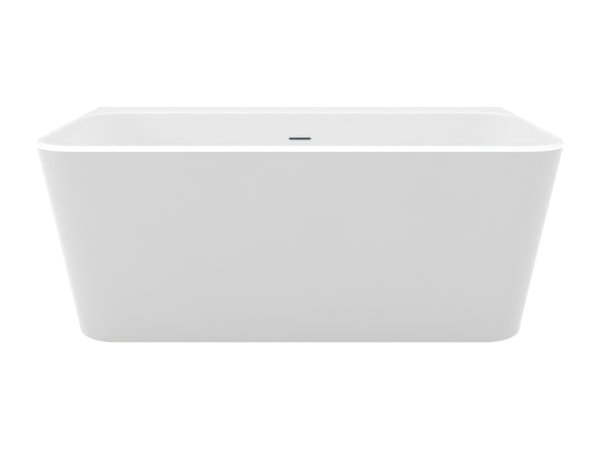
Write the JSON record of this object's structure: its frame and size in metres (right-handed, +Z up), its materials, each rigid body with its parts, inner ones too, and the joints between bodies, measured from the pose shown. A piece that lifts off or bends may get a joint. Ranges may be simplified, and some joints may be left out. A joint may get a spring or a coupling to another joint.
{
  "type": "back-to-wall freestanding bathtub",
  "caption": "Double-ended acrylic bathtub with a straight wall side, rounded front corners, slot overflow, press-down plug and a levelling steel frame.",
  "frame": {"origin": "on the floor, under the middle of the bath's box", "axes": "+X along the length, -Y towards the rounded front, +Y towards the wall, +Z up"},
  "size_m": [1.5, 0.75, 0.6],
  "materials": {
    "white_acrylic": "vacuum-formed sanitary acrylic, high gloss",
    "glass_laminate": "sprayed chopped-glass polyester, rough",
    "chipboard": "resin-sealed chipboard",
    "softwood": "planed softwood batten",
    "galvanised_steel": "galvanised",
    "zinc_plated_steel": "zinc plated",
    "chromed_brass": "polished chrome plate on brass",
    "spring_steel": "drawn stainless wire",
    "white_polypropylene": "moulded, satin",
    "white_pvc": "extruded waste pipe",
    "black_polyethylene": "moulded",
    "black_rubber": "moulded EPDM"
  },
  "bodies": {
    "tub": {"basin_shell": "white_acrylic", "outer_panel": "white_acrylic", "grp_laminate": "glass_laminate", "base_board": "chipboard", "ledge_batten": "softwood", "rear_posts": "softwood", "panel_batten_front": "softwood", "panel_batten_left": "softwood", "panel_batten_right": "softwood", "frame_rail_front": "galvanised_steel", "frame_rail_rear": "galvanised_steel", "cross_tube_left": "galvanised_steel", "cross_tube_middle": "galvanised_steel", "cross_tube_right": "galvanised_steel", "frame_end_caps": "black_polyethylene", "weld_nuts": "galvanised_steel", "frame_clips": "zinc_plated_steel", "board_screws": "zinc_plated_steel", "panel_brackets": "galvanised_steel", "panel_screws": "zinc_plated_steel", "wall_brackets": "galvanised_steel", "wall_bracket_screws": "zinc_plated_steel", "waste_flange": "chromed_brass", "waste_top_seal": "black_rubber", "waste_bottom_seal": "black_rubber", "waste_back_nut": "white_polypropylene", "plug_cartridge": "white_polypropylene", "plug_spring": "spring_steel", "trap_nut": "white_polypropylene", "trap_seal": "black_rubber", "trap_body": "white_polypropylene", "trap_cup": "white_polypropylene", "trap_cup_seal": "black_rubber", "outlet_nut": "white_polypropylene", "outlet_seal": "black_rubber", "outlet_pipe": "white_pvc", "outlet_adaptor": "white_pvc", "overflow_trim": "chromed_brass", "overflow_gasket": "black_rubber", "overflow_box": "white_polypropylene", "overflow_nut": "white_polypropylene", "overflow_hose": "white_polypropylene", "hose_clip": "galvanised_steel"},
    "plug": {"plug_cap": "chromed_brass", "plug_stem": "zinc_plated_steel", "plug_seal": "black_rubber"},
    "foot_1": {"foot_rod_1": "zinc_plated_steel", "foot_pad_1": "black_rubber", "foot_lock_nut_1": "zinc_plated_steel"},
    "foot_2": {"foot_rod_2": "zinc_plated_steel", "foot_pad_2": "black_rubber", "foot_lock_nut_2": "zinc_plated_steel"},
    "foot_3": {"foot_rod_3": "zinc_plated_steel", "foot_pad_3": "black_rubber", "foot_lock_nut_3": "zinc_plated_steel"},
    "foot_4": {"foot_rod_4": "zinc_plated_steel", "foot_pad_4": "black_rubber", "foot_lock_nut_4": "zinc_plated_steel"},
    "foot_5": {"foot_rod_5": "zinc_plated_steel", "foot_pad_5": "black_rubber", "foot_lock_nut_5": "zinc_plated_steel"}
  },
  "joints": [
    {"name": "plug_press", "type": "slide", "parent": "tub", "child": "plug", "axis": [0, 0, 1], "range_m": [-0.008, 0], "stiffness_N_per_m": 700, "springref_m": 0.004, "deforming": ["plug_spring"]},
    {"name": "foot_1_height", "type": "slide", "parent": "tub", "child": "foot_1", "axis": [0, 0, -1], "range_m": [-0.0028, 0.02]},
    {"name": "foot_2_height", "type": "slide", "parent": "tub", "child": "foot_2", "axis": [0, 0, -1], "range_m": [-0.0028, 0.02]},
    {"name": "foot_3_height", "type": "slide", "parent": "tub", "child": "foot_3", "axis": [0, 0, -1], "range_m": [-0.0028, 0.02]},
    {"name": "foot_4_height", "type": "slide", "parent": "tub", "child": "foot_4", "axis": [0, 0, -1], "range_m": [-0.0028, 0.02]},
    {"name": "foot_5_height", "type": "slide", "parent": "tub", "child": "foot_5", "axis": [0, 0, -1], "range_m": [-0.0028, 0.02]}
  ]
}
